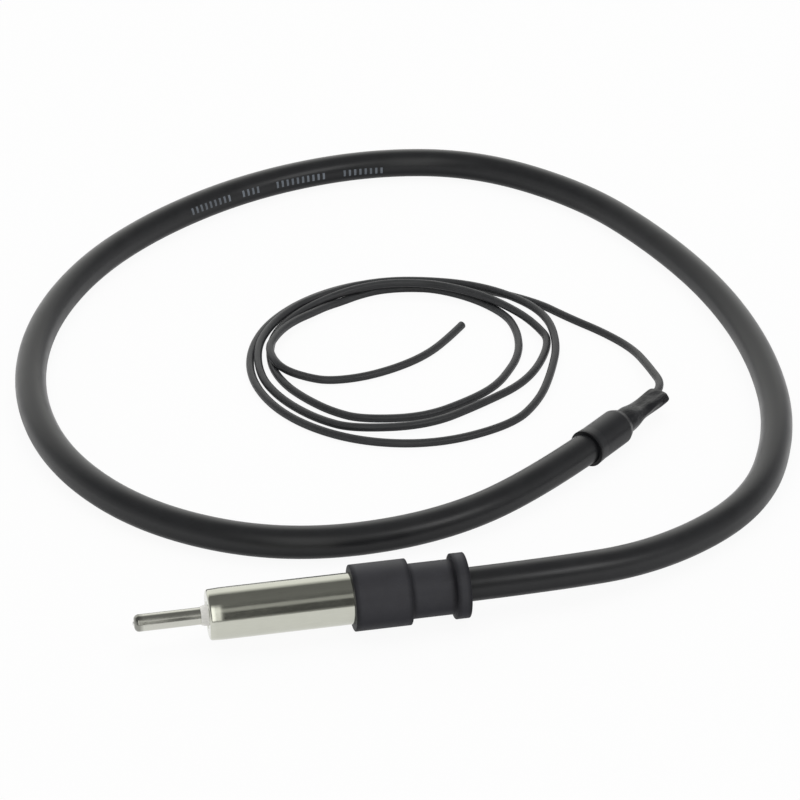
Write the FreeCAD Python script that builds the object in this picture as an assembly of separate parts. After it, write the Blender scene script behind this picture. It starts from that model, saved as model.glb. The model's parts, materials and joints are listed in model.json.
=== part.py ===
import FreeCAD, Part
import math
import os

V = FreeCAD.Vector

# Plug dimensions, millimetres, on the plug's own axis (X), cable towards +X.
# X = 0 is the front face of the boot, where the socket's mouth stops.
pin_d = 3.1
pin_reach = 13.0
pin_nose_round = 0.85
pin_seat_d = 2.6
pin_collar_d = 4.6
pin_collar_front = 5.5
pin_collar_thick = 1.0
pin_tail = 2.2
barrel_d = 9.3
barrel_wall = 0.5
barrel_reach = 25.8
barrel_rim_round = 0.5
barrel_lead = 2.4
barrel_lead_drop = 0.12
barrel_mouth_d = 4.8
barrel_seat = 3.7
barrel_seat_d = 8.6
barrel_neck_d = 5.0
barrel_shoulder = 2.0
barrel_neck_len = 5.3
boot_front_d = 12.0
boot_front_len = 10.25
boot_waist_d = 9.95
boot_waist_len = 7.8
boot_collar_d = 11.85
boot_collar_len = 2.8
boot_edge = 0.2
hub_reach = 1.2
hub_tip_wall = 0.4
hub_base_wall = 0.65
insulator_len = 9.4
ferrule_wall = 0.4
ferrule_len = 4.2

# Cable and wire sections.
coax_d = 6.2
dielectric_d = 3.7
core_d = 0.8
braid_wall = 0.3
braid_d = 4.6
braid_len = 4.7
wire_d = 1.65
wire_strand_d = 0.9

# Splice, along its own axis from the cut end of the cable's jacket.
sleeve_wall = 0.5
sleeve_flare = 0.15
sleeve_flare_len = 2.4
sleeve_grip = 10.0
sleeve_lip = 1.2
sleeve_lip_r = 3.1
neck_wall = 0.35
neck_root_r = 2.6
neck_root_len = 4.3
neck_half_w = 2.25
neck_end_half_w = 2.45
neck_half_h = 1.58
neck_dip = 0.13
neck_len = 15.2
neck_shift = 0.2
strip_dielectric = 2.2
strip_core = 10.0
crimp_start = 5.4
crimp_len = 4.2
crimp_wall = 0.3
wire_grip = 3.6
wire_free = 3.0

# Coil of thin wire, lying beside the splice.
coil_outer_r = 32.4
coil_inner_r = 23.0
coil_outer_centre = (26.8, 84.9)
coil_inner_centre = (25.2, 86.9)
coil_height = 3.2
coil_edge = 0.7

# Clearances.
bore_gap = 0.1
neck_bore_gap = 0.15
boot_gap = 0.15
shoulder_gap = 0.2

# Derived radii and stations.
pin_r = pin_d / 2
pin_seat_r = pin_seat_d / 2
barrel_r = barrel_d / 2
barrel_in_r = barrel_r - barrel_wall
rim_r = barrel_r - barrel_lead_drop
rim_in_r = rim_r - barrel_wall
rim_in_round = barrel_rim_round - barrel_wall
barrel_seat_r = barrel_seat_d / 2
barrel_seat_in_r = barrel_seat_r - barrel_wall
mouth_r = barrel_mouth_d / 2
neck_r = barrel_neck_d / 2
coax_r = coax_d / 2
core_r = core_d / 2
dielectric_r = dielectric_d / 2
wire_r = wire_d / 2
strand_r = wire_strand_d / 2
boot_r = boot_front_d / 2
boot_collar_r = boot_collar_d / 2
sleeve_r = coax_r + sleeve_wall
rim_x = -barrel_reach
lead_x = rim_x + barrel_lead
hub_x = rim_x - hub_reach
tip_x = rim_x - pin_reach
collar_x = rim_x + pin_collar_front
pin_back_x = collar_x + pin_collar_thick + pin_tail
neck_x = barrel_seat + barrel_shoulder
neck_end_x = neck_x + barrel_neck_len
jacket_x = neck_end_x + 1.0
boot_len = boot_front_len + boot_waist_len + boot_collar_len
braid_r = neck_r + braid_wall
ferrule_r = braid_r + ferrule_wall
floor_z = -boot_r
wire_z = floor_z + wire_r
coax_z = floor_z + coax_r
splice_z = floor_z + sleeve_r + sleeve_flare

# Cable route from the boot to the splice, laid out by hand on the floor.
coax_route = [
    (jacket_x, 0, 0),
    (34.5, 0, 0),
    (58.5, 5, -2.5),
    (81, 18.5, coax_z),
    (93, 42, coax_z),
    (97, 67, coax_z),
    (95.5, 93, coax_z),
    (88.5, 118, coax_z),
    (77.5, 141, coax_z),
    (57.5, 160, coax_z),
    (33.5, 165, coax_z),
    (7.5, 160, coax_z),
    (-15.5, 147.5, coax_z),
    (-34, 130, coax_z),
    (-46.5, 107, coax_z),
    (-51, 81.5, coax_z),
    (-46.5, 56, coax_z),
    (-32, 34.5, coax_z),
    (-9, 21.5, coax_z),
    (18, 21.5, coax_z),
    (41.2, 31.2, splice_z),
    (61.2, 47.7, splice_z),
]

# The splice's axis carries on the last run of the cable.
splice_dx = coax_route[-1][0] - coax_route[-2][0]
splice_dy = coax_route[-1][1] - coax_route[-2][1]
splice_turn = math.degrees(math.atan2(splice_dy, splice_dx))
splice_place = FreeCAD.Placement(V(*coax_route[-1]), FreeCAD.Rotation(V(0, 0, 1), splice_turn))
wire_side = core_r + strand_r
wire_cut = neck_len - wire_grip
wire_start = splice_place.multVec(V(wire_cut, wire_side, 0))
wire_turn = splice_place.multVec(V(neck_len + wire_free, wire_side, 0))

# Thin wire from the splice to the coil, and from the coil to its cut end.
lead_route = [
    tuple(wire_start),
    tuple(wire_turn),
    (74.0, 69.5, -3.4),
    (72.3, 78.5, -4.7),
    (68.6, 86.5, wire_z),
    (63.5, 94, wire_z),
    (56.5, 101, -4.6),
    (45.5, 109.2, -4.4),
]
tail_route = [
    (-0.5, 88.5, -4.6),
    (3.5, 82.5, wire_z),
    (9.5, 79.2, wire_z),
    (17, 79.3, wire_z),
    (24, 81.4, wire_z),
    (30.5, 84.8, wire_z),
    (36, 89.7, wire_z),
    (40.5, 95.5, wire_z),
]


def rounded_wire(points, radii, closed):
    """Straight runs joined by tangent arcs; a radius of 0 keeps a corner sharp."""
    count = len(points)
    cuts = []
    for i in range(count):
        here = points[i]
        if radii[i] <= 0:
            cuts.append((here, None, here))
            continue
        before = (points[i - 1] - here).normalize()
        after = (points[(i + 1) % count] - here).normalize()
        half = (math.pi - before.getAngle(after)) / 2
        reach = radii[i] * math.tan(half)
        inward = (before + after).normalize()
        middle = here + inward * (radii[i] / math.cos(half) - radii[i])
        cuts.append((here + before * reach, middle, here + after * reach))
    edges = []
    for i in range(count):
        start, middle, end = cuts[i]
        if middle is not None:
            edges.append(Part.Arc(start, middle, end).toShape())
        if i + 1 < count or closed:
            onward = cuts[(i + 1) % count][0]
            if (onward - end).Length > 1e-6:
                edges.append(Part.LineSegment(end, onward).toShape())
    return Part.Wire(edges)


def turned(profile):
    """Solid turned about the X axis from corners (x, radius, corner rounding)."""
    points = [V(x, r, 0) for x, r, _ in profile]
    radii = [rounding for _, _, rounding in profile]
    face = Part.Face(rounded_wire(points, radii, True))
    return face.revolve(V(0, 0, 0), V(1, 0, 0), 360)


def cord(route, radius, name):
    """Plain round cord: each bend takes 0.45 of the shorter run beside it."""
    points = [V(*p) for p in route]
    radii = [0.0]
    for i in range(1, len(points) - 1):
        back = points[i - 1] - points[i]
        on = points[i + 1] - points[i]
        half = (math.pi - back.getAngle(on)) / 2
        radii.append(0.45 * min(back.Length, on.Length) / math.tan(half))
    radii.append(0.0)
    path = rounded_wire(points, radii, False)
    along = (points[1] - points[0]).normalize()
    section = Part.Wire([Part.Circle(points[0], along, radius).toShape()])
    solid = path.makePipeShell([section], True, False)
    expected = math.pi * radius ** 2 * path.Length
    print(name, "length", round(path.Length, 1), "bend radii", [round(r, 1) for r in radii[1:-1]])
    print(name, "volume over section times length", round(solid.Volume / expected, 4))
    return solid


def slot_wire(s, low, high, radius):
    """Closed slot across the splice axis: two half circles joined by straight sides."""
    top = Part.LineSegment(V(s, low, radius), V(s, high, radius))
    left = Part.Arc(V(s, high, radius), V(s, high + radius, 0), V(s, high, -radius))
    under = Part.LineSegment(V(s, high, -radius), V(s, low, -radius))
    right = Part.Arc(V(s, low, -radius), V(s, low - radius, 0), V(s, low, radius))
    return Part.Wire([top.toShape(), left.toShape(), under.toShape(), right.toShape()])


def lobed_wire(s, half_w, half_h, dip, shift):
    """Closed oval across the splice axis, drawn in over the middle by dip."""
    points = []
    for k in range(16):
        turn = 2 * math.pi * k / 16
        across = half_w * math.cos(turn) + shift
        up = half_h * math.sin(turn) * (1 - dip * math.sin(turn) ** 4)
        points.append(V(s, across, up))
    curve = Part.BSplineCurve()
    curve.interpolate(points, PeriodicFlag=True)
    return Part.Wire([curve.toShape()])


def neck_loft(inset, tail):
    """Shrunk tube: round at the cable, two-lobed along the joint, drawn in at its end."""
    root = neck_root_r - inset
    wide = neck_half_w - inset
    end_wide = neck_end_half_w - inset
    high = neck_half_h - inset
    waist = (neck_root_len + neck_len) * 0.38
    taper = (neck_root_len + waist) / 2
    end = neck_len - tail
    sections = [
        lobed_wire(0, root, root, 0, 0),
        lobed_wire(sleeve_lip, root, root, 0, 0),
        lobed_wire(neck_root_len, root * 0.99, root * 0.95, neck_dip / 4, neck_shift / 4),
        lobed_wire(taper, (root + wide) / 2, (root + high) / 2, neck_dip / 2, neck_shift / 2),
        lobed_wire(waist, wide, high, neck_dip, neck_shift),
        lobed_wire((waist + end) / 2, (wide + end_wide) / 2, high, neck_dip, neck_shift),
        lobed_wire(end - 1.3, end_wide, high, neck_dip, neck_shift),
        lobed_wire(end - 0.4, end_wide * 0.93, high * 0.88, neck_dip, neck_shift),
        lobed_wire(end, end_wide * 0.74, high * 0.62, neck_dip / 2, neck_shift),
    ]
    return Part.makeLoft(sections, True, False)


# Centre pin: tube with a rounded nose, a shank and a collar that seat in the insulator.
plug_pin = turned([
    (tip_x, core_r + bore_gap, 0),
    (tip_x, pin_r, pin_nose_round),
    (hub_x, pin_r, 0),
    (hub_x, pin_seat_r, 0),
    (collar_x, pin_seat_r, 0),
    (collar_x, pin_collar_d / 2, 0.2),
    (collar_x + pin_collar_thick, pin_collar_d / 2, 0.2),
    (collar_x + pin_collar_thick, pin_seat_r, 0),
    (pin_back_x, pin_seat_r, 0.2),
    (pin_back_x, core_r + bore_gap, 0),
])

# Solder that closes the nose of the pin over the end of the conductor: plug and round cap.
solder_in = tip_x + 1.0
solder_r = core_r + bore_gap
solder_cap = 0.28
solder_ball_r = (solder_r ** 2 + solder_cap ** 2) / (2 * solder_cap)
solder_len = solder_in - tip_x + solder_cap
solder_rod = Part.makeCylinder(solder_r, solder_len, V(tip_x - solder_cap, 0, 0), V(1, 0, 0))
solder_ball = Part.makeSphere(solder_ball_r, V(tip_x - solder_cap + solder_ball_r, 0, 0), V(1, 0, 0))
solder_back = Part.makeCylinder(solder_r, solder_in - tip_x, V(tip_x, 0, 0), V(1, 0, 0))
tip_solder = solder_rod.common(solder_ball).fuse(solder_back).removeSplitter()

# Insulator: moulded bush behind the barrel's rim, with a tapered hub round the pin.
pin_insulator = turned([
    (hub_x, pin_seat_r, 0),
    (hub_x, pin_seat_r + hub_tip_wall, 0.15),
    (rim_x + 0.1, pin_seat_r + hub_base_wall, 0),
    (rim_x + 0.1, mouth_r, 0),
    (rim_x + barrel_wall, mouth_r, 0),
    (rim_x + barrel_wall, rim_in_r, rim_in_round),
    (lead_x, barrel_in_r, 0),
    (rim_x + insulator_len, barrel_in_r, 0.3),
    (rim_x + insulator_len, pin_collar_d / 2, 0),
    (collar_x, pin_collar_d / 2, 0),
    (collar_x, pin_seat_r, 0),
])

# Barrel: drawn sleeve with a slight lead-in, rim turned in over the insulator, tail drawn in
# for boot and braid.
plug_barrel = turned([
    (rim_x, mouth_r, 0),
    (rim_x, rim_r, barrel_rim_round),
    (lead_x, barrel_r, 0),
    (0, barrel_r, 0),
    (0, barrel_seat_r, 0),
    (barrel_seat, barrel_seat_r, 0.6),
    (neck_x, neck_r, 0.6),
    (neck_end_x, neck_r, 0.15),
    (neck_end_x, dielectric_r + neck_bore_gap, 0),
    (neck_x - 0.3, dielectric_r + neck_bore_gap, 0),
    (barrel_seat - 0.4, barrel_seat_in_r, 0),
    (0, barrel_seat_in_r, 0),
    (-barrel_wall, barrel_in_r, 0),
    (lead_x, barrel_in_r, 0),
    (rim_x + barrel_wall, rim_in_r, rim_in_round),
    (rim_x + barrel_wall, mouth_r, 0),
])

# Braid end: combed out of the jacket and drawn over the barrel's neck.
braid_end = turned([
    (neck_end_x - braid_len, neck_r, 0),
    (neck_end_x - braid_len, braid_r, 0),
    (neck_end_x + 0.2, braid_r, 0),
    (jacket_x, braid_d / 2, 0),
    (jacket_x, dielectric_r, 0),
    (neck_end_x + 0.5, dielectric_r, 0),
    (neck_end_x, neck_r, 0),
])

# Ferrule: ring closed on the braid over the neck.
ferrule_x = neck_end_x - braid_len + 0.3
crimp_ferrule = turned([
    (ferrule_x, braid_r, 0),
    (ferrule_x, ferrule_r, 0.15),
    (ferrule_x + ferrule_len, ferrule_r, 0.15),
    (ferrule_x + ferrule_len, braid_r, 0),
])

# Boot: moulded grip with a waist and an end collar, over barrel, ferrule and jacket.
boot_bore_r = ferrule_r + boot_gap
waist_x = boot_front_len
collar_start_x = boot_front_len + boot_waist_len
plug_boot = turned([
    (0, barrel_seat_r, 0),
    (0, boot_r, boot_edge),
    (waist_x, boot_r, boot_edge),
    (waist_x, boot_waist_d / 2, boot_edge),
    (collar_start_x, boot_waist_d / 2, boot_edge),
    (collar_start_x + 0.3, boot_collar_r, boot_edge),
    (boot_len, boot_collar_r, boot_edge),
    (boot_len, coax_r, 0.15),
    (jacket_x, coax_r, 0),
    (jacket_x, boot_bore_r, 0),
    (neck_x, boot_bore_r, 0),
    (barrel_seat + shoulder_gap, barrel_seat_r, 0),
])

# Stripped end of the cable inside the plug: dielectric and conductor.
dielectric_plug_end = turned([
    (pin_back_x, core_r, 0),
    (pin_back_x, dielectric_r, 0.2),
    (jacket_x, dielectric_r, 0),
    (jacket_x, core_r, 0),
])
core_plug_end = Part.makeCylinder(core_r, jacket_x - solder_in, V(solder_in, 0, 0), V(1, 0, 0))

# Cable and free runs of wire.
coax_cable = cord(coax_route, coax_r, "coax_cable")
wire_lead = cord(lead_route, wire_r, "wire_lead")
wire_tail = cord(tail_route, wire_r, "wire_tail")

# Outer sleeve: shrink tube over the jacket's end, its back rim a little flared, its lip
# drawn in on the neck tube.
outer_sleeve = turned([
    (-sleeve_grip, coax_r, 0),
    (-sleeve_grip, sleeve_r + sleeve_flare, 0.1),
    (sleeve_flare_len - sleeve_grip, sleeve_r, 0),
    (0, sleeve_r, 0.8),
    (sleeve_lip, sleeve_lip_r, 0.1),
    (sleeve_lip, neck_root_r, 0),
    (0.4, neck_root_r, 0),
    (0, coax_r, 0),
])

# Neck tube: shrink tube over the joint, closed at its end round the wire.
neck_outer = neck_loft(0, 0)
neck_cavity = neck_loft(neck_wall, 0.5)
wire_hole = Part.makeCylinder(wire_r, 6, V(neck_len - 4, wire_side, 0), V(1, 0, 0))
neck_sleeve = neck_outer.cut(neck_cavity).cut(wire_hole)

# Joint under the neck tube: stripped cable, crimp band and stripped wire side by side.
dielectric_splice_end = turned([
    (0, core_r, 0),
    (0, dielectric_r, 0),
    (strip_dielectric, dielectric_r, 0.2),
    (strip_dielectric, core_r, 0),
])
core_splice_end = Part.makeCylinder(core_r, strip_core, V(0, 0, 0), V(1, 0, 0))
strand_start = crimp_start - 0.6
strand_len = wire_cut - strand_start
wire_strand_end = Part.makeCylinder(strand_r, strand_len, V(strand_start, wire_side, 0), V(1, 0, 0))
crimp_outer = Part.Face(slot_wire(crimp_start, 0, wire_side, strand_r + crimp_wall))
crimp_slot = Part.Face(slot_wire(crimp_start, 0, wire_side, strand_r))
splice_crimp = crimp_outer.cut(crimp_slot).extrude(V(crimp_len, 0, 0))

# Coil: outer shape of the wire's loose turns, pocketed where both free runs join it.
coil_disc = Part.makeCylinder(coil_outer_r, coil_height, V(*coil_outer_centre, floor_z))
coil_rims = [e for e in coil_disc.Edges if isinstance(e.Curve, Part.Circle)]
coil_disc = coil_disc.makeFillet(coil_edge, coil_rims)
coil_hole = Part.makeCylinder(coil_inner_r, coil_height, V(*coil_inner_centre, floor_z))
wire_coil = coil_disc.cut(coil_hole).cut(wire_lead).cut(wire_tail)

on_splice = {
    "outer_sleeve": outer_sleeve,
    "neck_sleeve": neck_sleeve,
    "dielectric_splice_end": dielectric_splice_end,
    "core_splice_end": core_splice_end,
    "wire_strand_end": wire_strand_end,
    "splice_crimp": splice_crimp,
}
nodes = {
    "plug_pin": plug_pin,
    "tip_solder": tip_solder,
    "pin_insulator": pin_insulator,
    "plug_barrel": plug_barrel,
    "braid_end": braid_end,
    "crimp_ferrule": crimp_ferrule,
    "plug_boot": plug_boot,
    "dielectric_plug_end": dielectric_plug_end,
    "core_plug_end": core_plug_end,
    "coax_cable": coax_cable,
    "wire_lead": wire_lead,
    "wire_coil": wire_coil,
    "wire_tail": wire_tail,
}
for name, shape in on_splice.items():
    placed = shape.copy()
    placed.Placement = splice_place
    nodes[name] = placed

os.makedirs("parts", exist_ok=True)
for name, shape in nodes.items():
    solids = shape.Solids
    solid = solids[0] if len(solids) == 1 else shape
    solid.exportStep("parts/" + name + ".step")
    print(name, "solids", len(solids), "valid", shape.isValid(), "volume", round(shape.Volume, 1))
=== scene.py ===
import json
import math
import bmesh
import bpy
from mathutils import Matrix, Vector


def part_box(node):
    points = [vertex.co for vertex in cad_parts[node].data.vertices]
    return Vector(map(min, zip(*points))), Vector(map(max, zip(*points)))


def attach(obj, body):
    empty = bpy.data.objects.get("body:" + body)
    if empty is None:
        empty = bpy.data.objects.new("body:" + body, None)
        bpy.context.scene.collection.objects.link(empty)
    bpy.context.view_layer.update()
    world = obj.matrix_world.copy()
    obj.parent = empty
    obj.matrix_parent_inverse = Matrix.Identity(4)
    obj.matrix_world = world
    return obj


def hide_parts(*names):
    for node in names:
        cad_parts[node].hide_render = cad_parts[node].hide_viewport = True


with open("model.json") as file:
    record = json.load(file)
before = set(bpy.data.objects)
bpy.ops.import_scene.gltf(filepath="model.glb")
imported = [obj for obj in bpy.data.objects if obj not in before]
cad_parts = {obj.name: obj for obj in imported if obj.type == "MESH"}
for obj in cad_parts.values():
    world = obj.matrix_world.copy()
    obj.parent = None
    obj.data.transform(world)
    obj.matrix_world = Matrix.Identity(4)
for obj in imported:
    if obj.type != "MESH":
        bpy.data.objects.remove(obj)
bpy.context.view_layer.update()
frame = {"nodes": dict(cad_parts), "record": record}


# Centre pin: a turned brass tube, nickel plated, with a rounded nose. A painted
# dark reflection darkens the nose and its small rounded edges. Its shank and
# collar are pressed into the insulator, and the cable's conductor runs through it to the nose.
mm = 0.001
mates = {mount["name"]: mount for mount in frame["record"]["mounts"]}
pin_r = mates["centre_pin"]["dims"]["r_mm"] * mm
hub_x = mates["centre_pin"]["pos_m"][0]
pin_low, pin_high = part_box("plug_pin")
tip_x = pin_low[0]
pin_tail_x = pin_high[0]
pin_bore_r = 0.5 * mm
pin_nose_round = 0.85 * mm
pin_shank_r = 1.3 * mm
pin_collar_thick = 1.0 * mm
pin_collar_x = -20.3 * mm
pin_collar_back_x = pin_collar_x + pin_collar_thick
pin_collar_r = 2.3 * mm
pin_edge = 0.2 * mm


def ring(shape, x, r, around):
    """Ring of corners of radius r round the X axis."""
    turns = [2 * math.pi * k / around for k in range(around)]
    return [shape.verts.new((x, r * math.cos(turn), r * math.sin(turn))) for turn in turns]


def bridge(shape, loop, other):
    """Band of faces between two rings of corners."""
    for k in range(len(loop)):
        ahead = (k + 1) % len(loop)
        shape.faces.new((loop[k], loop[ahead], other[ahead], other[k]))


def placed(name, mesh, crease):
    """Smooth-shaded object at the origin, whose corners sharper than crease degrees stay hard."""
    mesh.shade_smooth()
    mesh.set_sharp_from_angle(angle=math.radians(crease))
    piece = bpy.data.objects.new(name, mesh)
    bpy.context.scene.collection.objects.link(piece)
    return piece


def finished_mesh(name, shape, crease=38):
    """Object made of a bmesh, with its faces turned outwards."""
    bmesh.ops.recalc_face_normals(shape, faces=shape.faces)
    mesh = bpy.data.meshes.new(name)
    shape.to_mesh(mesh)
    shape.free()
    return placed(name, mesh, crease)


def turned(name, corners, around=112, step=0.8 * mm, arc_steps=8, small=1.0 * mm):
    """Closed skin turned about the X axis from corners (x, radius, rounding).

    The attribute edge is 1 on corners with a small rounding and 0 on the plain runs.
    """
    outline = []
    for i, (x, r, rounding) in enumerate(corners):
        here = Vector((x, r))
        if rounding <= 0:
            outline.append((here, 0.0))
            continue
        before = (Vector(corners[i - 1][:2]) - here).normalized()
        after = (Vector(corners[(i + 1) % len(corners)][:2]) - here).normalized()
        half = (math.pi - before.angle(after)) / 2
        centre = here + (before + after).normalized() * rounding / math.cos(half)
        start = here + before * rounding * math.tan(half) - centre
        end = here + after * rounding * math.tan(half) - centre
        edge = 1.0 if rounding < small else 0.0
        for k in range(arc_steps + 1):
            spoke = start.lerp(end, k / arc_steps).normalized() * rounding
            outline.append((centre + spoke, edge))
    shape = bmesh.new()
    edge_layer = shape.verts.layers.float.new("edge")
    rings = []
    for i, (here, edge) in enumerate(outline):
        onward = outline[(i + 1) % len(outline)][0]
        pieces = max(1, math.ceil((onward - here).length / step))
        for k in range(pieces):
            at = here.lerp(onward, k / pieces)
            loop = ring(shape, at.x, at.y, around)
            for vert in loop:
                vert[edge_layer] = edge if k == 0 else 0.0
            rings.append(loop)
    for i, loop in enumerate(rings):
        bridge(shape, loop, rings[(i + 1) % len(rings)])
    return finished_mesh(name, shape)


def put(tree, kind, **settings):
    """Adds a node; a setting is one of its properties, or an input by name or number."""
    node = tree.nodes.new(kind)
    for key, value in settings.items():
        if key[:2] == "in" and key[2:].isdigit():
            socket = node.inputs[int(key[2:])]
        elif key in node.bl_rna.properties:
            setattr(node, key, value)
            continue
        else:
            socket = node.inputs[key.replace("_", " ")]
        if isinstance(value, bpy.types.NodeSocket):
            tree.links.new(value, socket)
        else:
            socket.default_value = value
    return node


def feed(tree, node, **sources):
    """Links outputs to a node's inputs by name."""
    for label, source in sources.items():
        tree.links.new(source, node.inputs[label.replace("_", " ")])


def calc(tree, operation, *values, clamp=False):
    """Result of a Math node that works on numbers or on other outputs."""
    inputs = {f"in{i}": value for i, value in enumerate(values)}
    return put(tree, "ShaderNodeMath", operation=operation, use_clamp=clamp, **inputs).outputs[0]


def noise(tree, place, scale, detail, roughness=0.5):
    """Soft random pattern from 0 to 1, with about so many spots to the metre."""
    node = put(tree, "ShaderNodeTexNoise", Vector=place, Scale=scale, Detail=detail, Roughness=roughness)
    return node.outputs[0]


def new_group(name, inputs, outputs):
    """Shader group with number inputs (name: default) and the named number outputs."""
    tree = bpy.data.node_groups.new(name, "ShaderNodeTree")
    for label, value in inputs.items():
        socket = tree.interface.new_socket(label, in_out="INPUT", socket_type="NodeSocketFloat")
        socket.default_value = value
    for label in outputs:
        tree.interface.new_socket(label, in_out="OUTPUT", socket_type="NodeSocketFloat")
    return tree, tree.nodes.new("NodeGroupInput").outputs, tree.nodes.new("NodeGroupOutput")


def handled_and_shaded_metal_group():
    """Handling marks on metal: fine streaks and soft smudges, with edges rubbed paler or darkened by painted
    shade.
    """
    lengthwise = 0.06
    streak_shade = 0.16
    smudge_shade = 0.14
    streak_haze = 0.12
    smudge_haze = 0.22
    tree, given, gives = new_group(
        "handled_and_shaded_metal",
        {"Streaks": 1.0, "Smudges": 1.0, "Edge rub": 0.0},
        ["Tone", "Roughness", "Height"],
    )
    place = put(tree, "ShaderNodeTexCoord").outputs["Object"]
    drawn = put(tree, "ShaderNodeMapping", Vector=place, Scale=(lengthwise, 1.0, 1.0)).outputs[0]
    lines = calc(tree, "SUBTRACT", noise(tree, drawn, scale=5200.0, detail=3.0), 0.5)
    cloud = calc(tree, "SUBTRACT", noise(tree, place, scale=260.0, detail=4.0, roughness=0.62), 0.5)
    streak = calc(tree, "MULTIPLY", lines, given["Streaks"])
    smudge = calc(tree, "MULTIPLY", cloud, given["Smudges"])
    edge = put(tree, "ShaderNodeAttribute", attribute_name="edge").outputs["Fac"]
    streaked = calc(tree, "MULTIPLY_ADD", streak, streak_shade, 1.0)
    smudged = calc(tree, "MULTIPLY_ADD", smudge, smudge_shade, streaked)
    # Edge value: above zero the small rounded edges are rubbed paler; below zero painted shade darkens them.
    tone = calc(tree, "MULTIPLY_ADD", edge, given["Edge rub"], smudged)
    haze = calc(tree, "MULTIPLY", smudge, smudge_haze)
    rough = calc(tree, "MULTIPLY_ADD", streak, streak_haze, haze)
    feed(tree, gives, Tone=tone, Roughness=rough, Height=streak)
    return tree


handled_and_shaded_metal = handled_and_shaded_metal_group()


def marked(name, group, colour, roughness, relief, depth, **amounts):
    """Material whose colour, roughness and relief carry a group's marks, with its shader and the marks."""
    material = bpy.data.materials.new(name)
    material.use_nodes = True
    tree = material.node_tree
    skin = tree.nodes["Principled BSDF"]
    marks = put(tree, "ShaderNodeGroup", node_tree=group, **amounts).outputs
    tint = put(tree, "ShaderNodeVectorMath", operation="SCALE", in0=colour, Scale=marks["Tone"])
    rough = calc(tree, "ADD", marks["Roughness"], roughness, clamp=True)
    bump = put(tree, "ShaderNodeBump", Strength=relief, Distance=depth, Height=marks["Height"])
    feed(tree, skin, Base_Color=tint.outputs[0], Roughness=rough, Normal=bump.outputs[0])
    return material, skin, marks


def metal(name, colour, roughness, streaks, smudges, edge_rub, relief):
    """Bare or plated metal with its own amount of streaks, smudges, and edges rubbed paler or darkened by
    painted shade.
    """
    material, skin, marks = marked(
        name, handled_and_shaded_metal, colour, roughness, relief, depth=0.02 * mm,
        Streaks=streaks, Smudges=smudges, Edge_rub=edge_rub,
    )
    skin.inputs["Metallic"].default_value = 1.0
    return material


# Below zero, the pin's edge value is a painted dark reflection on its nose and small edges.
pin_plate = metal(
    "pin_plate", (0.58, 0.58, 0.53), roughness=0.19,
    streaks=0.8, smudges=0.7, edge_rub=-0.5, relief=0.18,
)
pin = turned("centre_pin", [
    (tip_x, pin_bore_r, 0),
    (tip_x, pin_r, pin_nose_round),
    (hub_x, pin_r, 0),
    (hub_x, pin_shank_r, 0),
    (pin_collar_x, pin_shank_r, 0),
    (pin_collar_x, pin_collar_r, pin_edge),
    (pin_collar_back_x, pin_collar_r, pin_edge),
    (pin_collar_back_x, pin_shank_r, 0),
    (pin_tail_x, pin_shank_r, pin_edge),
    (pin_tail_x, pin_bore_r, 0),
])
pin.data.materials.append(pin_plate)
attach(pin, "root")
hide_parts("plug_pin")


# Solder: a bright bead of soft solder that fills the pin's nose.
# It is run in hot over the end of the conductor and sets as a low dome.
solder_low, solder_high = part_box("tip_solder")
solder_rise = tip_x - solder_low[0]


def domed(name, foot_x, back_x, radius, rise, around=64, arc_steps=12):
    """Round plug on the X axis with a low dome at its front, from back_x to foot_x."""
    ball = (radius ** 2 + rise ** 2) / (2 * rise)
    lean = math.asin(radius / ball)
    shape = bmesh.new()
    rings = []
    for k in range(1, arc_steps + 1):
        at = lean * k / arc_steps
        rings.append(ring(shape, foot_x - rise + ball * (1 - math.cos(at)), ball * math.sin(at), around))
    rings.append(ring(shape, back_x, radius, around))
    rings.append(ring(shape, back_x, radius / 2, around))
    front = shape.verts.new((foot_x - rise, 0, 0))
    back = shape.verts.new((back_x, 0, 0))
    for loop, other in zip(rings, rings[1:]):
        bridge(shape, loop, other)
    for k in range(around):
        ahead = (k + 1) % around
        shape.faces.new((front, rings[0][k], rings[0][ahead]))
        shape.faces.new((back, rings[-1][ahead], rings[-1][k]))
    return finished_mesh(name, shape)


solder_bright = metal(
    "solder_bright", (0.80, 0.80, 0.78), roughness=0.10,
    streaks=0.2, smudges=1.0, edge_rub=0.0, relief=0.10,
)
bead = domed("tip_bead", tip_x, solder_high[0], pin_bore_r, solder_rise)
bead.data.materials.append(solder_bright)
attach(bead, "root")
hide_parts("tip_solder")


# Insulator: a moulded natural-white bush that fills the barrel's mouth.
# The pin is pressed into it, and a short tapered hub stands out round the pin.
barrel_low, barrel_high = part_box("plug_barrel")
barrel_r = mates["plug_shell"]["dims"]["r_mm"] * mm
barrel_wall = 0.5 * mm
barrel_in_r = barrel_r - barrel_wall
rim_x = barrel_low[0]
rim_drop = 0.12 * mm
rim_r = barrel_r - rim_drop
lead_in = 2.4 * mm
lead_x = rim_x + lead_in
mouth_r = 2.4 * mm
hub_tip_r = pin_shank_r + 0.4 * mm
hub_foot_r = pin_shank_r + 0.65 * mm
hub_foot_x = rim_x + 0.1 * mm
hub_edge = 0.12 * mm
bush_back_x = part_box("pin_insulator")[1][0]
bush_edge = 0.3 * mm


def spread(tree, value, low, high, first=0.0, last=1.0):
    """Goes from first to last while the value goes from low to high, and no further."""
    node = put(
        tree, "ShaderNodeMapRange", Value=value,
        From_Min=low, From_Max=high, To_Min=first, To_Max=last,
    )
    return node.outputs[0]


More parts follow.
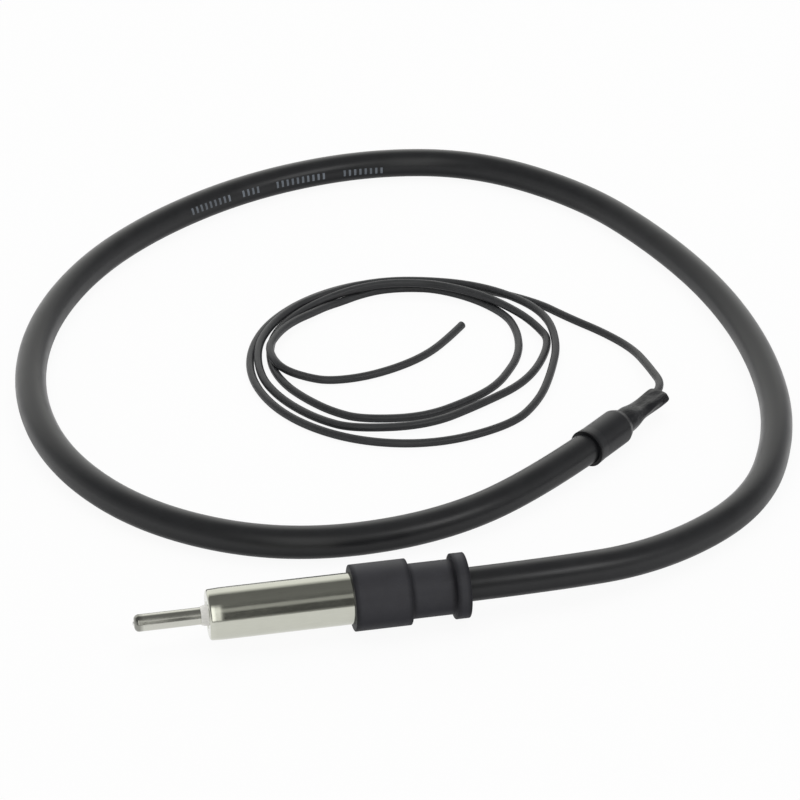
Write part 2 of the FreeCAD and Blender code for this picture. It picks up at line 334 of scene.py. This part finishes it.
def plastic_skin_group():
    """Skin of moulded or extruded plastic: grain, mottle, a little dust, dull edges that painted shade may
    darken, and undersides with painted shade.
    """
    dust_shade = 0.9
    dust_haze = 0.25
    mottle_haze = 0.07
    plain_coat = 0.68
    edge_coat = 0.13
    tree, given, gives = new_group(
        "plastic_skin",
        {"Grain": 2600.0, "Mottle": 0.15, "Dust": 0.3, "Edge rub": 0.0},
        ["Tone", "Roughness", "Height", "Gloss"],
    )
    place = put(tree, "ShaderNodeTexCoord").outputs["Object"]
    grain = noise(tree, place, scale=given["Grain"], detail=3.0, roughness=0.6)
    cloud = noise(tree, place, scale=210.0, detail=4.0, roughness=0.6)
    speck = noise(tree, place, scale=3400.0, detail=1.0)
    edge = put(tree, "ShaderNodeAttribute", attribute_name="edge").outputs["Fac"]
    facing = put(tree, "ShaderNodeNewGeometry").outputs["Normal"]
    upward = put(tree, "ShaderNodeSeparateXYZ", Vector=facing).outputs["Z"]
    dust = calc(tree, "MULTIPLY", spread(tree, speck, low=0.67, high=0.76), given["Dust"])
    swing = spread(tree, cloud, low=0.3, high=0.7, first=-1.0, last=1.0)
    mottled = calc(tree, "MULTIPLY_ADD", swing, given["Mottle"], 1.0)
    dusty = calc(tree, "MULTIPLY_ADD", dust, dust_shade, mottled)
    # Edge value below zero darkens the small rounded edges with painted shade.
    tone = calc(tree, "MULTIPLY_ADD", edge, given["Edge rub"], dusty)
    haze = calc(tree, "MULTIPLY", swing, mottle_haze)
    rough = calc(tree, "MULTIPLY_ADD", dust, dust_haze, haze)
    coat = calc(tree, "MULTIPLY_ADD", edge, edge_coat - plain_coat, plain_coat, clamp=True)
    # Painted shade: faces turned downwards lose their coat, in place of the shadowed table they would
    # reflect.
    gloss = calc(tree, "MULTIPLY", spread(tree, upward, low=-0.25, high=0.35), coat)
    feed(tree, gives, Tone=tone, Roughness=rough, Height=grain, Gloss=gloss)
    return tree


plastic_skin = plastic_skin_group()


def plastic(name, colour, roughness, grain, mottle, dust, edge_rub, relief, coated=True):
    """Plastic with its own grain (spots to the metre), mottle, dust, and edges that painted shade may
    darken.

    Its gloss is a coat on a dull base, thinner on undersides as painted shade; where it isn't coated, the
    base has a plain gloss.
    """
    dull_base = 0.12
    plain_base = 0.36
    material, skin, marks = marked(
        name, plastic_skin, colour, roughness, relief, depth=0.04 * mm,
        Grain=grain, Mottle=mottle, Dust=dust, Edge_rub=edge_rub,
    )
    skin.inputs["Specular IOR Level"].default_value = dull_base if coated else plain_base
    skin.inputs["Coat Roughness"].default_value = roughness
    if coated:
        feed(material.node_tree, skin, Coat_Weight=marks["Gloss"])
    return material


natural_white = plastic(
    "natural_white", (0.93, 0.92, 0.89), roughness=0.34,
    grain=1800.0, mottle=0.03, dust=0.0, edge_rub=0.0, relief=0.12,
)
bush = turned("insulator_bush", [
    (hub_x, pin_shank_r, 0),
    (hub_x, hub_tip_r, hub_edge),
    (hub_foot_x, hub_foot_r, hub_edge),
    (hub_foot_x, mouth_r, 0),
    (rim_x + barrel_wall, mouth_r, 0),
    (rim_x + barrel_wall, rim_r - barrel_wall, 0),
    (lead_x, barrel_in_r, 0),
    (bush_back_x, barrel_in_r, bush_edge),
    (bush_back_x, pin_collar_r, 0),
    (pin_collar_x, pin_collar_r, 0),
    (pin_collar_x, pin_shank_r, 0),
])
bush.data.materials.append(natural_white)
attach(bush, "root")
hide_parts("pin_insulator")


# Barrel: the earth sleeve, drawn from brass sheet and nickel plated bright.
# It has a slight lead-in, its rim is turned in over the insulator, and its
# tail is drawn in under the boot, then necked down for the cable's braid.
mouth_edge = 0.15 * mm
rim_round = 0.5 * mm
lead_round = 24.0 * mm
tail_r = 4.3 * mm
tail_in_r = tail_r - barrel_wall
tail_x = 3.7 * mm
tail_in_x = tail_x - 0.4 * mm
spigot_x = 5.7 * mm
spigot_in_x = spigot_x - 0.3 * mm
spigot_end_x = barrel_high[0]
spigot_r = 2.5 * mm
spigot_bore_r = 2.0 * mm
spigot_edge = 0.15 * mm
tail_round = 0.6 * mm
nickel_plate = metal(
    "nickel_plate", (0.56, 0.565, 0.50), roughness=0.11,
    streaks=0.8, smudges=0.7, edge_rub=0.05, relief=0.18,
)
barrel = turned("barrel", [
    (rim_x, mouth_r, mouth_edge),
    (rim_x, rim_r, rim_round),
    (lead_x, barrel_r, lead_round),
    (0, barrel_r, 0),
    (0, tail_r, 0),
    (tail_x, tail_r, tail_round),
    (spigot_x, spigot_r, tail_round),
    (spigot_end_x, spigot_r, spigot_edge),
    (spigot_end_x, spigot_bore_r, 0),
    (spigot_in_x, spigot_bore_r, 0),
    (tail_in_x, tail_in_r, 0),
    (0, tail_in_r, 0),
    (-barrel_wall, barrel_in_r, 0),
    (lead_x, barrel_in_r, 0),
    (rim_x + barrel_wall, rim_r - barrel_wall, 0),
    (rim_x + barrel_wall, mouth_r, 0),
])
barrel.data.materials.append(nickel_plate)
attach(barrel, "root")
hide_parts("plug_barrel")


# Cable end inside the plug: bare copper braid combed back over the barrel's
# neck, a plain brass ferrule closed on it, and the stripped dielectric and
# copper conductor that run on into the pin.
braid_strands = 14.0
braid_lay = 2600.0


def woven_copper():
    """Bare copper braid: two sets of fine wires crossing round the X axis."""
    material = metal(
        "braid_copper", (0.72, 0.45, 0.30), roughness=0.30,
        streaks=0.6, smudges=1.0, edge_rub=0.0, relief=0.3,
    )
    tree = material.node_tree
    place = put(tree, "ShaderNodeTexCoord").outputs["Object"]
    spot = put(tree, "ShaderNodeSeparateXYZ", Vector=place).outputs
    turn = calc(tree, "ARCTAN2", spot["Y"], spot["Z"])
    along = calc(tree, "MULTIPLY", spot["X"], braid_lay)
    waves = []
    for strands in (braid_strands, -braid_strands):
        lean = calc(tree, "MULTIPLY_ADD", turn, strands, along)
        waves.append(calc(tree, "SINE", lean))
    weave = calc(tree, "MAXIMUM", *waves)
    bump = put(tree, "ShaderNodeBump", Strength=0.8, Distance=0.08 * mm, Height=weave)
    feed(tree, tree.nodes["Principled BSDF"], Normal=bump.outputs[0])
    return material


def dress(node, material):
    """Gives a CAD piece that stays its finish."""
    mesh = frame["nodes"][node].data
    mesh.materials.clear()
    mesh.materials.append(material)


braid_copper = woven_copper()
plain_brass = metal(
    "plain_brass", (0.68, 0.56, 0.34), roughness=0.24,
    streaks=1.0, smudges=1.0, edge_rub=0.0, relief=0.25,
)
bare_copper = metal(
    "bare_copper", (0.76, 0.43, 0.27), roughness=0.22,
    streaks=1.0, smudges=0.8, edge_rub=0.0, relief=0.2,
)
clear_core = plastic(
    "clear_core", (0.80, 0.80, 0.76), roughness=0.35,
    grain=1500.0, mottle=0.04, dust=0.0, edge_rub=0.0, relief=0.08,
)
dress("braid_end", braid_copper)
dress("crimp_ferrule", plain_brass)
dress("dielectric_plug_end", clear_core)
dress("core_plug_end", bare_copper)


# Boot: a soft black vinyl grip with a plain front, a waist and an end collar.
# It is moulded over the barrel's tail, the ferrule and the cable's jacket. Its
# skin is matte, its small soft edges are duller, and painted shade darkens them.
boot_low, boot_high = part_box("plug_boot")
boot_r = boot_high[2]
boot_len = boot_high[0]
floor_z = boot_low[2]
waist_x = 10.25 * mm
waist_r = 4.975 * mm
collar_x = 18.05 * mm
collar_slope = 0.3 * mm
collar_r = 5.925 * mm
boot_edge = 0.2 * mm
coax_r = 3.1 * mm
jacket_x = 12.0 * mm
ferrule_room_r = 3.35 * mm
tail_room_x = tail_x + 0.2 * mm
boot_black = plastic(
    "boot_black", (0.025, 0.025, 0.0305), roughness=0.56,
    grain=3000.0, mottle=0.16, dust=0.35, edge_rub=-0.35, relief=0.35,
)
boot = turned("boot", [
    (0, tail_r, 0),
    (0, boot_r, boot_edge),
    (waist_x, boot_r, boot_edge),
    (waist_x, waist_r, boot_edge),
    (collar_x, waist_r, boot_edge),
    (collar_x + collar_slope, collar_r, boot_edge),
    (boot_len, collar_r, boot_edge),
    (boot_len, coax_r, boot_edge),
    (jacket_x, coax_r, 0),
    (jacket_x, ferrule_room_r, 0),
    (spigot_x, ferrule_room_r, 0),
    (tail_room_x, tail_r, 0),
])
boot.data.materials.append(boot_black)
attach(boot, "root")
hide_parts("plug_boot")


# Joint inside the splice: the cable's stripped dielectric and conductor, the
# stripped strands of the thin wire beside it, and the brass band crimped over
# both. They stay under the shrink tubes.
dress("dielectric_splice_end", clear_core)
dress("core_splice_end", bare_copper)
dress("wire_strand_end", bare_copper)
dress("splice_crimp", plain_brass)


# Shrink tubes of the splice: a short outer tube shrunk over the cut end of the
# jacket, its lip drawn in, and a longer thin tube shrunk tight over the joint,
# creased lengthwise, so that conductor and wire show as two soft ridges.
splice_from = (41.2, 31.2, -2.25)
splice_at = (61.2, 47.7, -2.25)
splice_way = Vector(splice_at) - Vector(splice_from)
splice_turn = math.atan2(splice_way.y, splice_way.x)
splice_place = Matrix.Translation(Vector(splice_at) * mm) @ Matrix.Rotation(splice_turn, 4, "Z")
sleeve_wall = 0.5 * mm
sleeve_r = coax_r + sleeve_wall
sleeve_grip = 10.0 * mm
sleeve_flare = 0.15 * mm
sleeve_flare_len = 2.4 * mm
flare_edge = 0.12 * mm
flare_round = 1.5 * mm
shoulder_round = 1.1 * mm
shoulder_in_x = 0.4 * mm
lip_reach = 1.2 * mm
lip_r = 3.1 * mm
lip_edge = 0.15 * mm
neck_root_r = 2.6 * mm
tube_black = (0.011, 0.0115, 0.0135)
# The outer tube's small rounded edges are darkened with painted shade.
shrink_black = plastic(
    "shrink_black", tube_black, roughness=0.40,
    grain=2200.0, mottle=0.14, dust=0.30, edge_rub=-0.4, relief=0.22,
)
sleeve = turned("outer_tube", [
    (-sleeve_grip, coax_r, 0),
    (-sleeve_grip, sleeve_r + sleeve_flare, flare_edge),
    (-sleeve_grip + sleeve_flare_len, sleeve_r, flare_round),
    (0, sleeve_r, shoulder_round),
    (lip_reach, lip_r, lip_edge),
    (lip_reach, neck_root_r, 0),
    (shoulder_in_x, neck_root_r, 0),
    (0, coax_r, 0),
])
sleeve.data.transform(splice_place)
sleeve.data.materials.append(shrink_black)
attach(sleeve, "root")
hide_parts("outer_sleeve")

neck_len = 15.2 * mm
neck_half_w = 2.25 * mm
neck_end_half_w = 2.45 * mm
neck_half_h = 1.58 * mm
neck_dip = 0.26
neck_shift = 0.2 * mm
crease_depth = 0.05
crease_count = 7
crease_lean = 0.75 / mm
# Distance from the cut jacket, half width, half height, dip between the ridges and shift to the wire's side.
neck_rows = [
    (0.0, neck_root_r, neck_root_r, 0, 0),
    (lip_reach, neck_root_r, neck_root_r, 0, 0),
    (3.2 * mm, neck_root_r, 2.58 * mm, 0, 0),
    (4.4 * mm, 2.58 * mm, 2.46 * mm, neck_dip / 4, neck_shift / 4),
    (5.8 * mm, 2.42 * mm, 2.0 * mm, neck_dip * 0.6, neck_shift * 0.6),
    (7.3 * mm, neck_half_w, neck_half_h, neck_dip, neck_shift),
    (9.0 * mm, neck_half_w, neck_half_h, neck_dip * 1.2, neck_shift),
    (11.5 * mm, 2.38 * mm, neck_half_h, neck_dip * 1.3, neck_shift),
    (neck_len - 1.3 * mm, neck_end_half_w, neck_half_h, neck_dip * 1.3, neck_shift),
    (neck_len - 0.4 * mm, neck_end_half_w * 0.95, neck_half_h * 0.91, neck_dip, neck_shift),
    (neck_len, neck_end_half_w * 0.76, neck_half_h * 0.66, neck_dip / 2, neck_shift),
    (neck_len, neck_end_half_w * 0.40, neck_half_h * 0.34, 0, neck_shift),
]


def shrunk_neck(name, around=32):
    """Tube that runs from round, through two-lobed and creased, to a drawn-in closed end."""
    shape = bmesh.new()
    loops = []
    for along, half_w, half_h, dip, shift in neck_rows:
        loop = []
        for k in range(around):
            turn = 2 * math.pi * k / around
            wave = math.sin(crease_count * turn + crease_lean * along)
            fold = 1 + crease_depth * dip / neck_dip * wave
            side = half_w * math.cos(turn) * fold + shift
            up = half_h * math.sin(turn) * (1 - dip * math.sin(turn) ** 4) * fold
            loop.append(shape.verts.new((along, side, up)))
        loops.append(loop)
    for loop, other in zip(loops, loops[1:]):
        bridge(shape, loop, other)
    shape.faces.new(loops[0])
    shape.faces.new(loops[-1])
    return finished_mesh(name, shape)


def creased_black():
    """Shrink tube drawn down over an uneven joint, so its skin is creased lengthwise."""
    material = plastic(
        "creased_black", tube_black, roughness=0.36,
        grain=2200.0, mottle=0.14, dust=0.30, edge_rub=0.0, relief=0.22, coated=False,
    )
    tree = material.node_tree
    skin = tree.nodes["Principled BSDF"]
    fine = skin.inputs["Normal"].links[0].from_socket
    place = put(tree, "ShaderNodeTexCoord").outputs["Object"]
    stretched = put(
        tree, "ShaderNodeMapping", vector_type="TEXTURE",
        Vector=place, Rotation=(0, 0, splice_turn), Scale=(2.2, 1, 1),
    )
    folds = noise(tree, stretched.outputs[0], scale=620.0, detail=2.0)
    crease = put(tree, "ShaderNodeBump", Strength=0.75, Distance=0.42 * mm, Height=folds, Normal=fine)
    feed(tree, skin, Normal=crease.outputs[0])
    return material


neck = shrunk_neck("neck_tube")
neck.data.transform(splice_place)
smooth = neck.modifiers.new("soft_skin", "SUBSURF")
smooth.levels = 2
smooth.render_levels = 2
neck.data.materials.append(creased_black())
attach(neck, "root")
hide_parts("neck_sleeve")


# Cable: black coaxial cable with an extruded satin vinyl jacket.
# It leaves the boot straight, lies in one wide loop on the floor and ends in
# the splice, which comes to rest inside the loop.
coax_z = -2.9
coax_route = [
    (jacket_x / mm, 0, 0),
    (34.5, 0, 0),
    (58.5, 5, -2.5),
    (81, 18.5, coax_z),
    (93, 42, coax_z),
    (97, 67, coax_z),
    (95.5, 93, coax_z),
    (88.5, 118, coax_z),
    (77.5, 141, coax_z),
    (57.5, 160, coax_z),
    (33.5, 165, coax_z),
    (7.5, 160, coax_z),
    (-15.5, 147.5, coax_z),
    (-34, 130, coax_z),
    (-46.5, 107, coax_z),
    (-51, 81.5, coax_z),
    (-46.5, 56, coax_z),
    (-32, 34.5, coax_z),
    (-9, 21.5, coax_z),
    (18, 21.5, coax_z),
    splice_from,
    splice_at,
]


def round_cord_tree():
    """Sweeps a round section along a curve, and keeps where each point is on the skin."""
    tree = bpy.data.node_groups.new("round_cord", "GeometryNodeTree")
    kinds = {"Line": "Geometry", "Radius": "Float", "Sides": "Int", "Skin": "Material"}
    for label, kind in kinds.items():
        tree.interface.new_socket(label, in_out="INPUT", socket_type="NodeSocket" + kind)
    tree.interface.new_socket("Cord", in_out="OUTPUT", socket_type="NodeSocketGeometry")
    given = tree.nodes.new("NodeGroupInput").outputs
    reach = put(tree, "GeometryNodeSplineParameter").outputs["Length"]
    line = put(
        tree, "GeometryNodeStoreNamedAttribute", data_type="FLOAT", domain="POINT",
        Geometry=given["Line"], Name="along", Value=reach,
    )
    circle = put(
        tree, "GeometryNodeCurvePrimitiveCircle",
        Resolution=given["Sides"], Radius=given["Radius"],
    )
    place = put(tree, "GeometryNodeInputPosition").outputs[0]
    section = put(
        tree, "GeometryNodeStoreNamedAttribute", data_type="FLOAT_VECTOR", domain="POINT",
        Geometry=circle.outputs["Curve"], Name="across", Value=place,
    )
    sweep = put(
        tree, "GeometryNodeCurveToMesh",
        Curve=line.outputs[0], Profile_Curve=section.outputs[0], Fill_Caps=True,
    )
    real = put(tree, "GeometryNodeRealizeInstances", Geometry=sweep.outputs[0])
    skin = put(tree, "GeometryNodeSetMaterial", Geometry=real.outputs[0], Material=given["Skin"])
    feed(tree, tree.nodes.new("NodeGroupOutput"), Cord=skin.outputs[0])
    return tree


round_cord = round_cord_tree()


def laid_cord(name, route, radius, sides, skin, steps=14, crease=50):
    """Round cord laid along a smooth line through a route in millimetres, and that line's points."""
    line = bpy.data.curves.new(name + "_line", "CURVE")
    line.dimensions = "3D"
    line.twist_mode = "Z_UP"
    line.resolution_u = steps
    spline = line.splines.new("NURBS")
    spline.points.add(len(route) - 1)
    for point, (x, y, z) in zip(spline.points, route):
        point.co = (x * mm, y * mm, z * mm, 1)
    spline.order_u = 3
    spline.use_endpoint_u = True
    guide = bpy.data.objects.new(name + "_line", line)
    bpy.context.scene.collection.objects.link(guide)
    bare = bpy.data.meshes.new_from_object(guide)
    path = [tuple(vert.co) for vert in bare.vertices]
    bpy.data.meshes.remove(bare)
    sweep = guide.modifiers.new("round_cord", "NODES")
    sweep.node_group = round_cord
    settings = {"Radius": radius, "Sides": sides, "Skin": skin}
    for item in round_cord.interface.items_tree:
        if item.in_out == "INPUT" and item.name in settings:
            sweep[item.identifier] = settings[item.name]
    laid = guide.evaluated_get(bpy.context.evaluated_depsgraph_get())
    mesh = bpy.data.meshes.new_from_object(laid)
    mesh.name = name
    bpy.data.objects.remove(guide)
    return placed(name, mesh, crease), path


# The jacket's print: which ticks of the row there are, counted from the cable's start,
# and how far the row climbs round the jacket (radians to the metre) from its level spot.
tick_pitch = 1.3 * mm
tick_groups = [(194, 201), (205, 214), (218, 221), (224, 232)]
tick_width = 0.55 * mm
tick_height = 1.5 * mm
tick_climb = 8.73
tick_level_at = 0.2574
tick_level = 0.035
tick_ink = (0.20, 0.225, 0.26, 1)


def mixed(tree, share, first, second):
    """Colour that goes from the first to the second as the share goes from 0 to 1."""
    node = put(tree, "ShaderNodeMix", data_type="RGBA", Factor=share, in6=first, in7=second)
    return node.outputs[2]


def printed_ticks(material):
    """Worn pale ticks in groups along the jacket, in a row that climbs round its inner side."""
    tree = material.node_tree
    skin = tree.nodes["Principled BSDF"]
    bare = skin.inputs["Base Color"].links[0].from_socket
    along = put(tree, "ShaderNodeAttribute", attribute_name="along").outputs["Fac"]
    across = put(tree, "ShaderNodeAttribute", attribute_name="across").outputs["Vector"]
    inward = put(tree, "ShaderNodeVectorMath", operation="SCALE", in0=across, Scale=-1.0).outputs[0]
    spot = put(tree, "ShaderNodeSeparateXYZ", Vector=inward).outputs
    lift = calc(tree, "ARCTAN2", spot["Y"], spot["X"])
    climb = calc(tree, "MULTIPLY_ADD", along, tick_climb, tick_level - tick_level_at * tick_climb)
    row = calc(tree, "COMPARE", lift, climb, tick_height / coax_r / 2)
    nearest = calc(tree, "PINGPONG", along, tick_pitch / 2)
    tick = calc(tree, "LESS_THAN", nearest, tick_width / 2)
    area = 0.0
    for first, last in tick_groups:
        middle = (first + last) / 2 * tick_pitch
        reach = (last - first + 1) / 2 * tick_pitch
        area = calc(tree, "MAXIMUM", area, calc(tree, "COMPARE", along, middle, reach))
    place = put(tree, "ShaderNodeTexCoord").outputs["Object"]
    wear = noise(tree, place, scale=160.0, detail=1.0)
    ink = spread(tree, wear, low=0.35, high=0.65, first=0.5, last=0.85)
    for mask in (row, tick, area):
        ink = calc(tree, "MULTIPLY", ink, mask)
    feed(tree, skin, Base_Color=mixed(tree, ink, bare, tick_ink))


jacket_black = plastic(
    "jacket_black", (0.0125, 0.013, 0.0144), roughness=0.36,
    grain=1900.0, mottle=0.14, dust=0.25, edge_rub=0.0, relief=0.14,
)
printed_ticks(jacket_black)
cable, cable_path = laid_cord("coax_cable_jacket", coax_route, coax_r, sides=40, skin=jacket_black)
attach(cable, "root")
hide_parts("coax_cable")


# Aerial wire: thin stranded copper wire in black vinyl, cut to length and left
# bare at its end. It leaves the neck tube, turns back and lies in a loose coil
# of a little over three turns, with its last run across the coil's middle.
wire_r = 0.825 * mm
wire_z = floor_z / mm + wire_r / mm
wire_side = 0.85 * mm
wire_grip = 3.6 * mm
wire_straight = 2.3 * mm
wire_root = splice_place @ Vector((neck_len - wire_grip, wire_side, 0)) / mm
wire_turn = splice_place @ Vector((neck_len + wire_straight, wire_side, 0)) / mm
coil_centre = (25.85, 85.46)
# Turn in degrees, reach from the coil's centre and height of the wire.
coil_points = [
    (60, 31.7, wire_z), (120, 31.0, wire_z), (180, 32.3, wire_z), (240, 32.7, -5.1),
    (300, 33.3, wire_z), (335, 31.1, -4.2), (375, 33.2, -3.3), (420, 30.1, -3.95),
    (481, 28.9, -4.1), (517.4, 29.7, -4.28), (546.5, 29.6, -4.66), (570.3, 28.7, -5.0),
    (600, 29.6, -4.2), (660, 23.9, -4.95), (718, 31.1, -4.6), (742, 28.7, -3.7),
    (780, 26.3, -2.85), (810.3, 26.0, -2.94), (840.4, 26.9, -4.32), (870.2, 27.9, -5.05),
    (900, 26.7, -5.1), (930, 24.8, wire_z), (960, 24.5, wire_z), (1020, 21.2, wire_z),
    (1060, 22.7, wire_z), (1080, 24.6, -5.0), (1106, 27.3, -5.1), (1143, 28.1, wire_z),
    (1168, 27.2, wire_z), (1189.7, 25.3, -5.15), (1208.3, 24.8, -4.5), (1229, 26.1, -3.74),
    (1247.8, 27.3, -3.36),
]
wire_route = [
    tuple(wire_root),
    tuple(wire_turn),
    (73.7, 69.4, -3.4),
    (72.8, 78.5, -4.6),
    (68.7, 86.5, -5.0),
    (63.0, 93.5, -5.0),
    (57.0, 101.5, -4.7),
]
for k in range(2 * len(coil_points) - 1):
    here = Vector(coil_points[k // 2])
    onward = Vector(coil_points[(k + 1) // 2])
    degrees, reach, height = (here + onward) / 2
    turn = math.radians(degrees)
    wire_route.append((
        coil_centre[0] + reach * math.cos(turn),
        coil_centre[1] + reach * math.sin(turn),
        height,
    ))
wire_route += [
    (-0.4, 86.1, -3.5),
    (1.6, 82.9, -4.0),
    (5.6, 81.0, -4.9),
    (9.6, 79.4, wire_z),
    (16.4, 79.4, wire_z),
    (23.5, 81.4, wire_z),
    (30.2, 84.8, wire_z),
    (35.7, 89.7, wire_z),
    (40.5, 95.4, wire_z),
]
wire_black = plastic(
    "wire_black", (0.030, 0.031, 0.033), roughness=0.42,
    grain=3200.0, mottle=0.16, dust=0.20, edge_rub=0.0, relief=0.16,
)
wire, wire_path = laid_cord("aerial_wire", wire_route, wire_r, sides=20, skin=wire_black)
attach(wire, "root")
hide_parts("wire_lead", "wire_coil", "wire_tail")

strand_r = 0.14 * mm
strand_ring_r = 2.1 * strand_r
strand_ring_count = 6
strand_show = 0.1 * mm
strand_len = 2.0 * mm
wire_end = Vector(wire_path[-1])
wire_way = (wire_end - Vector(wire_path[-2])).normalized()
end_place = Matrix.Translation(wire_end) @ wire_way.to_track_quat("Z", "Y").to_matrix().to_4x4()
strand_spots = []
for k in range(strand_ring_count):
    turn = 2 * math.pi * k / strand_ring_count
    strand_spots.append((strand_ring_r * math.cos(turn), strand_ring_r * math.sin(turn)))
strand_spots.append((0, 0))
bundle = bmesh.new()
for x, y in strand_spots:
    aside = Matrix.Translation((x, y, strand_show - strand_len / 2))
    bmesh.ops.create_cone(
        bundle, cap_ends=True, segments=12, radius1=strand_r, radius2=strand_r, depth=strand_len,
        matrix=end_place @ aside,
    )
strands = finished_mesh("cut_strands", bundle)
strands.data.materials.append(bare_copper)
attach(strands, "root")


# Studio: a white table with low pale walls behind and beside it and a dark room
# in front, with one bright card left of the camera, which gives the plated metal
# its bands. A wide soft lamp hangs overhead, a smaller one is in front on the right.
scene = bpy.context.scene
scene.view_settings.view_transform = "Standard"
table_half = 1.6
table_gap = 0.03 * mm
table_z = floor_z - table_gap
table_mesh = bpy.data.meshes.new("white_table")
table_mesh.from_pydata(
    [(x * table_half, y * table_half, table_z) for x, y in ((-1, -1), (1, -1), (1, 1), (-1, 1))],
    [], [(0, 1, 2, 3)],
)
table = bpy.data.objects.new("white_table", table_mesh)
scene.collection.objects.link(table)


def table_white():
    """White table top: plain to the lamps, near full white to the eye and to metal."""
    seen_white = 0.93
    mirrored_white = 0.87
    material = bpy.data.materials.new("table_white")
    material.use_nodes = True
    tree = material.node_tree
    skin = tree.nodes["Principled BSDF"]
    skin.inputs["Base Color"].default_value = (0.86, 0.86, 0.86, 1)
    skin.inputs["Roughness"].default_value = 0.9
    skin.inputs["Specular IOR Level"].default_value = 0.0
    ray = put(tree, "ShaderNodeLightPath").outputs
    mirror = calc(tree, "MAXIMUM", ray["Is Glossy Ray"], ray["Is Transmission Ray"])
    mirrored = calc(tree, "MULTIPLY", mirror, mirrored_white)
    share = calc(tree, "MULTIPLY_ADD", ray["Is Camera Ray"], seen_white, mirrored)
    glow = put(tree, "ShaderNodeEmission", Color=(1, 1, 1, 1), Strength=1.0)
    mix = put(tree, "ShaderNodeMixShader", in0=share, in1=skin.outputs[0], in2=glow.outputs[0])
    feed(tree, tree.nodes["Material Output"], Surface=mix.outputs[0])
    return material


table_mesh.materials.append(table_white())
# Share of the way from the front, up and over to the back, and the room's brightness there.
room_stops = [
    (0.0, 0.45), (0.05, 0.09), (0.20, 0.09), (0.24, 0.42), (0.29, 0.42), (0.33, 0.14),
    (0.44, 0.20), (0.69, 0.18), (0.81, 1.15), (1.0, 1.15),
]
room_blue = 0.97
low_wall = 0.62
high_wall = 0.2
# Soft edges of the bright card: axis, from, to, and its share at both.
card_edges = [("X", -0.34, -0.26, 0.0, 1.0), ("X", -0.03, 0.03, 1.0, 0.0), ("Z", 0.05, 0.15, 0.0, 1.0)]
card_white = (1.7, 1.7, 1.65, 1)


def studio_room():
    """World: white low down behind, pale beside, dim overhead, dark in front but for a bright card."""
    world = bpy.data.worlds.new("studio_room")
    world.use_nodes = True
    tree = world.node_tree
    room = tree.nodes["Background"]
    place = put(tree, "ShaderNodeTexCoord").outputs["Generated"]
    way = put(tree, "ShaderNodeSeparateXYZ", Vector=place).outputs
    front = calc(tree, "MULTIPLY", way["Y"], -1.0)
    lift = calc(tree, "ARCTAN2", way["Z"], front)
    tones = put(tree, "ShaderNodeValToRGB", Fac=calc(tree, "DIVIDE", lift, math.pi))
    ramp = tones.color_ramp.elements
    for i, (at, level) in enumerate(room_stops):
        stop = ramp[i] if i < 2 else ramp.new(at)
        stop.position = at
        stop.color = (level, level, level * room_blue, 1)
    beside = spread(tree, calc(tree, "ABSOLUTE", way["X"]), low=0.5, high=0.75)
    wall = spread(tree, way["Z"], low=0.3, high=0.6, first=low_wall, last=high_wall)
    walled = mixed(tree, beside, tones.outputs[0], wall)
    card = spread(tree, front, low=0.2, high=0.5)
    for axis, low, high, first, last in card_edges:
        card = calc(tree, "MULTIPLY", card, spread(tree, way[axis], low, high, first, last))
    feed(tree, room, Color=mixed(tree, card, walled, card_white))
    white = put(tree, "ShaderNodeBackground", Color=(1, 1, 1, 1), Strength=1.0)
    seen = put(tree, "ShaderNodeLightPath").outputs["Is Camera Ray"]
    mix = put(tree, "ShaderNodeMixShader", in0=seen, in1=room.outputs[0], in2=white.outputs[0])
    feed(tree, tree.nodes["World Output"], Surface=mix.outputs[0])
    return world


scene.world = studio_room()


def softbox(name, place, aim, size, power):
    """Soft lamp of that width and height in metres, turned towards a point."""
    lamp = bpy.data.lights.new(name, "AREA")
    lamp.shape = "RECTANGLE"
    lamp.size, lamp.size_y = size
    lamp.energy = power
    stand = bpy.data.objects.new(name, lamp)
    stand.location = place
    stand.rotation_euler = (Vector(aim) - Vector(place)).to_track_quat("-Z", "Y").to_euler()
    scene.collection.objects.link(stand)
    return stand


look_at = Vector((22.61, 70.94, -6.0)) * mm
softbox("window_lamp", (0.55, -0.60, 0.68), look_at, size=(0.35, 0.35), power=1.5)
top_lamp = softbox("top_lamp", (0.05, 0.20, 0.85), look_at, size=(1.0, 0.8), power=4.6)
top_lamp.visible_glossy = False


# Camera: the photograph's view, a long lens from above and a little to the
# plug's side.
eye = bpy.data.cameras.new("camera")
eye.sensor_width = 36
eye.lens = 130.0
camera = bpy.data.objects.new("camera", eye)
camera.location = Vector((-70.03, -405.68, 309.31)) * mm
camera.rotation_euler = (look_at - camera.location).to_track_quat("-Z", "Y").to_euler()
scene.collection.objects.link(camera)
scene.camera = camera

bpy.context.view_layer.update()
